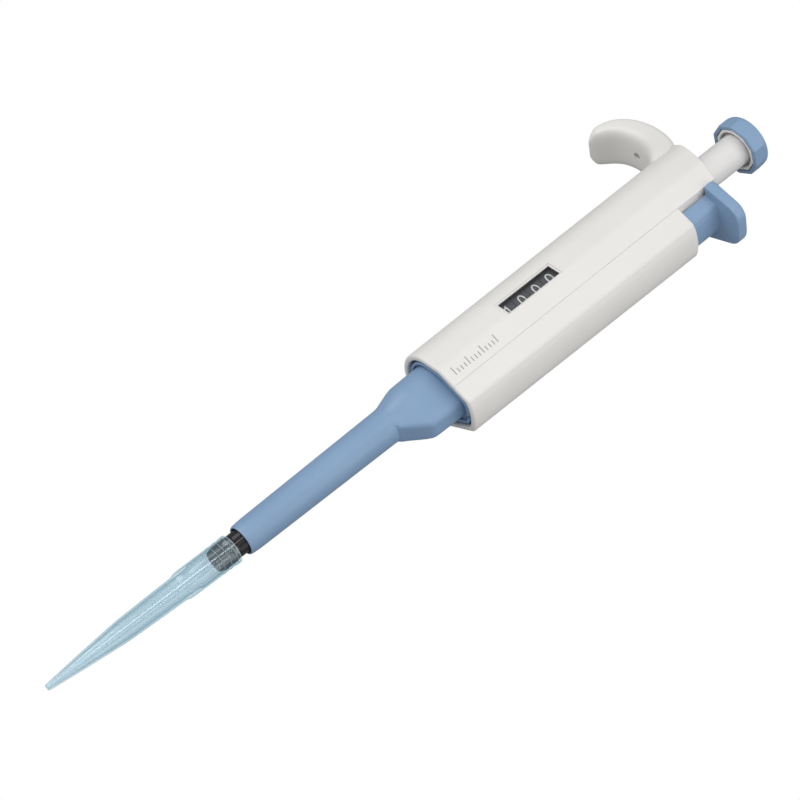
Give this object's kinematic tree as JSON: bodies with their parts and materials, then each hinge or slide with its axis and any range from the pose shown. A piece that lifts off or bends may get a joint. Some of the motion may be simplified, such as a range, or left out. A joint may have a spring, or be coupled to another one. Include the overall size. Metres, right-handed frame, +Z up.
{
  "type": "manual micropipette",
  "caption": "Hand-held adjustable-volume piston pipette with finger hook, volume window, plunger, tip ejector and a disposable tip.",
  "frame": {"origin": "on the plunger axis, level with the flat land under the finger hook", "axes": "+Z up the plunger axis to the knob, +X to the tip ejector's thumb button, -X to the finger hook, -Y the side with the volume window"},
  "size_m": [0.0663, 0.0268, 0.3012],
  "materials": {
    "body_white": "fine satin moulded ABS",
    "rod_white": "satin moulded plastic",
    "grey_blue": "satin moulded plastic",
    "black_plastic": "satin PVDF",
    "drum_grey": "matt with white figures",
    "inner_acetal": "natural acetal",
    "steel": "ground and polished",
    "brass": "turned",
    "rubber": "matt",
    "ptfe": "smooth",
    "clear_plastic": "clear",
    "tip_polypropylene": "translucent pale blue"
  },
  "bodies": {
    "handle": {"rear_shell": "body_white", "front_cover": "body_white", "window_lens": "clear_plastic", "top_cap": "body_white", "chassis": "inner_acetal", "cylinder": "black_plastic", "cylinder_nut": "brass", "piston_seal": "ptfe", "seal_o_ring": "rubber", "seal_washer": "steel", "carry_shaft": "steel", "main_spring": "steel", "ejector_spring": "steel"},
    "volume_screw": {"volume_spindle": "inner_acetal", "spindle_clip": "steel", "blowout_spring": "steel"},
    "volume_nut": {"volume_nut": "brass"},
    "units_drum": {"units_drum": "drum_grey"},
    "tens_drum": {"tens_drum": "drum_grey"},
    "hundreds_drum": {"hundreds_drum": "drum_grey"},
    "thousands_drum": {"thousands_drum": "drum_grey"},
    "tens_pinion": {"tens_pinion": "inner_acetal"},
    "hundreds_pinion": {"hundreds_pinion": "inner_acetal"},
    "thousands_pinion": {"thousands_pinion": "inner_acetal"},
    "blowout_stop": {"blowout_stop": "brass"},
    "plunger": {"plunger_knob": "grey_blue", "knob_insert": "rod_white", "push_rod": "rod_white", "centre_rod": "steel", "piston_collar": "inner_acetal", "piston": "steel"},
    "ejector": {"ejector_button": "grey_blue", "ejector_rod": "steel", "ejector_sleeve": "grey_blue"},
    "tip": {"pipette_tip": "tip_polypropylene"}
  },
  "joints": [
    {"name": "volume_turn", "type": "hinge", "parent": "handle", "child": "volume_screw", "pos_m": [0, 0, -0.0518], "axis": [0, 0, -1], "range_deg": [0, 5760]},
    {"name": "units_turn", "type": "hinge", "parent": "handle", "child": "units_drum", "pos_m": [0, 0, -0.0662], "axis": [0, 0, -1], "range_deg": [0, 5760]},
    {"name": "tens_turn", "type": "hinge", "parent": "handle", "child": "tens_drum", "pos_m": [0, 0, -0.0723], "axis": [0, 0, -1], "range_deg": [0, 2880]},
    {"name": "hundreds_turn", "type": "hinge", "parent": "handle", "child": "hundreds_drum", "pos_m": [0, 0, -0.0784], "axis": [0, 0, -1], "range_deg": [0, 288]},
    {"name": "thousands_turn", "type": "hinge", "parent": "handle", "child": "thousands_drum", "pos_m": [0, 0, -0.0845], "axis": [0, 0, -1], "range_deg": [0, 28.8]},
    {"name": "tens_pinion_turn", "type": "hinge", "parent": "handle", "child": "tens_pinion", "pos_m": [0.01078, 0.00622, -0.06925], "axis": [0, 0, -1], "range_deg": [-7200, 0]},
    {"name": "hundreds_pinion_turn", "type": "hinge", "parent": "handle", "child": "hundreds_pinion", "pos_m": [0.01078, 0.00622, -0.07535], "axis": [0, 0, -1], "range_deg": [-720, 0]},
    {"name": "thousands_pinion_turn", "type": "hinge", "parent": "handle", "child": "thousands_pinion", "pos_m": [0.01078, 0.00622, -0.08145], "axis": [0, 0, -1], "range_deg": [-72, 0]},
    {"name": "volume_nut_travel", "type": "slide", "parent": "handle", "child": "volume_nut", "axis": [0, 0, -1], "range_m": [0, 0.01257]},
    {"name": "blowout_press", "type": "slide", "parent": "volume_screw", "child": "blowout_stop", "axis": [0, 0, -1], "range_m": [0, 0.0028], "stiffness_N_per_m": 3000, "springref_m": -0.0005, "deforming": ["blowout_spring"]},
    {"name": "plunger_press", "type": "slide", "parent": "blowout_stop", "child": "plunger", "axis": [0, 0, -1], "range_m": [0, 0.0157], "stiffness_N_per_m": 200, "springref_m": -0.006, "deforming": ["main_spring"]},
    {"name": "ejector_press", "type": "slide", "parent": "handle", "child": "ejector", "axis": [0, 0, -1], "range_m": [0, 0.007], "stiffness_N_per_m": 300, "springref_m": -0.006, "deforming": ["ejector_spring"]},
    {"name": "tip_pull_off", "type": "slide", "parent": "ejector", "child": "tip", "axis": [0, 0, -1], "range_m": [0, 0.014]}
  ],
  "couplings": [
    {"joint": "volume_nut_travel", "follows": "volume_turn", "m_per_rad": 0.00012494},
    {"joint": "units_turn", "follows": "volume_turn", "ratio": 1},
    {"joint": "tens_turn", "follows": "volume_turn", "ratio": 0.5},
    {"joint": "hundreds_turn", "follows": "volume_turn", "ratio": 0.05},
    {"joint": "thousands_turn", "follows": "volume_turn", "ratio": 0.005},
    {"joint": "tens_pinion_turn", "follows": "volume_turn", "ratio": -1.25},
    {"joint": "hundreds_pinion_turn", "follows": "volume_turn", "ratio": -0.125},
    {"joint": "thousands_pinion_turn", "follows": "volume_turn", "ratio": -0.0125}
  ]
}
